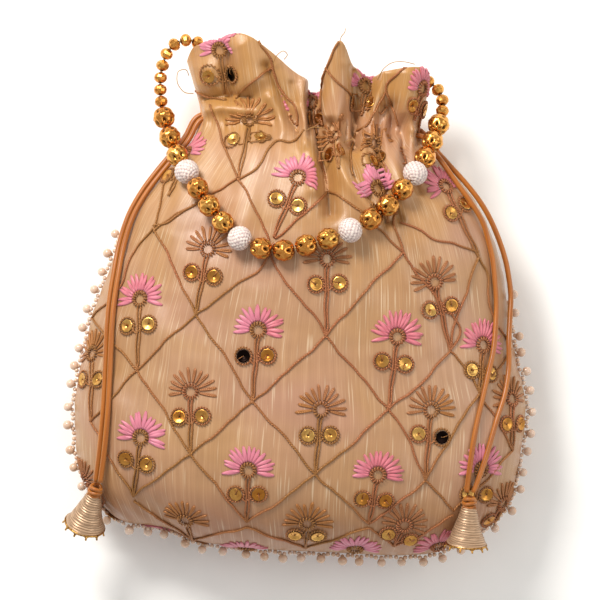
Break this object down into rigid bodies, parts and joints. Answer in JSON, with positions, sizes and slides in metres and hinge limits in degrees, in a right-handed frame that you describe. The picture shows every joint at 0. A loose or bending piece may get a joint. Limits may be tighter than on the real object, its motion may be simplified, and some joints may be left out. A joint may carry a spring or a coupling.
{
  "type": "potli bag",
  "caption": "Drawstring potli pouch in embroidered cloth with a gathered frill, pearl edging, cord tassels and a beaded handle.",
  "frame": {"origin": "middle of the box round the bag without its free cords and tassels, on the surface it lies on", "axes": "+Y from the bottom seam to the frilled mouth, +Z out of the front panel, the bag lying on its back"},
  "size_m": [0.2106, 0.2375, 0.0756],
  "materials": {
    "brocade": "champagne cloth with embroidery",
    "lining_cloth": "plain woven",
    "pearl": "imitation pearl",
    "satin_cord": "satin",
    "wound_zari": "metallic thread, wound",
    "gold_wire": "bright gold",
    "gold_bead": "gold plated",
    "sugar_bead": "pebbled white",
    "handle_thread": "waxed thread"
  },
  "bodies": {
    "root": {"back_panel": "brocade", "drawstring_left_in_casing": "satin_cord", "drawstring_left_strand_1": "satin_cord", "drawstring_left_strand_2": "satin_cord", "drawstring_right_in_casing": "satin_cord", "drawstring_right_strand_1": "satin_cord", "drawstring_right_strand_2": "satin_cord", "front_panel": "brocade", "handle_thread": "handle_thread", "large_bead_left_1": "gold_bead", "large_bead_left_2": "gold_bead", "large_bead_left_3": "gold_bead", "large_bead_left_4": "gold_bead", "large_bead_left_5": "gold_bead", "large_bead_left_6": "gold_bead", "large_bead_left_7": "gold_bead", "large_bead_left_8": "gold_bead", "large_bead_right_1": "gold_bead", "large_bead_right_2": "gold_bead", "large_bead_right_3": "gold_bead", "large_bead_right_4": "gold_bead", "large_bead_right_5": "gold_bead", "large_bead_right_6": "gold_bead", "large_bead_right_7": "gold_bead", "large_bead_right_8": "gold_bead", "lining": "lining_cloth", "pearl_edging": "pearl", "small_bead_left_1": "gold_bead", "small_bead_left_2": "gold_bead", "small_bead_left_3": "gold_bead", "small_bead_left_4": "gold_bead", "small_bead_left_5": "gold_bead", "small_bead_left_6": "gold_bead", "small_bead_left_7": "gold_bead", "small_bead_left_8": "gold_bead", "small_bead_left_9": "gold_bead", "small_bead_right_1": "gold_bead", "small_bead_right_2": "gold_bead", "small_bead_right_3": "gold_bead", "small_bead_right_4": "gold_bead", "small_bead_right_5": "gold_bead", "small_bead_right_6": "gold_bead", "small_bead_right_7": "gold_bead", "small_bead_right_8": "gold_bead", "small_bead_right_9": "gold_bead", "sugar_bead_left_1": "sugar_bead", "sugar_bead_left_2": "sugar_bead", "sugar_bead_right_1": "sugar_bead", "sugar_bead_right_2": "sugar_bead", "tassel_collar_left": "satin_cord", "tassel_collar_right": "satin_cord", "tassel_cone_left": "wound_zari", "tassel_cone_right": "wound_zari", "tassel_ring_left": "gold_wire", "tassel_ring_right": "gold_wire"}
  },
  "joints": []
}
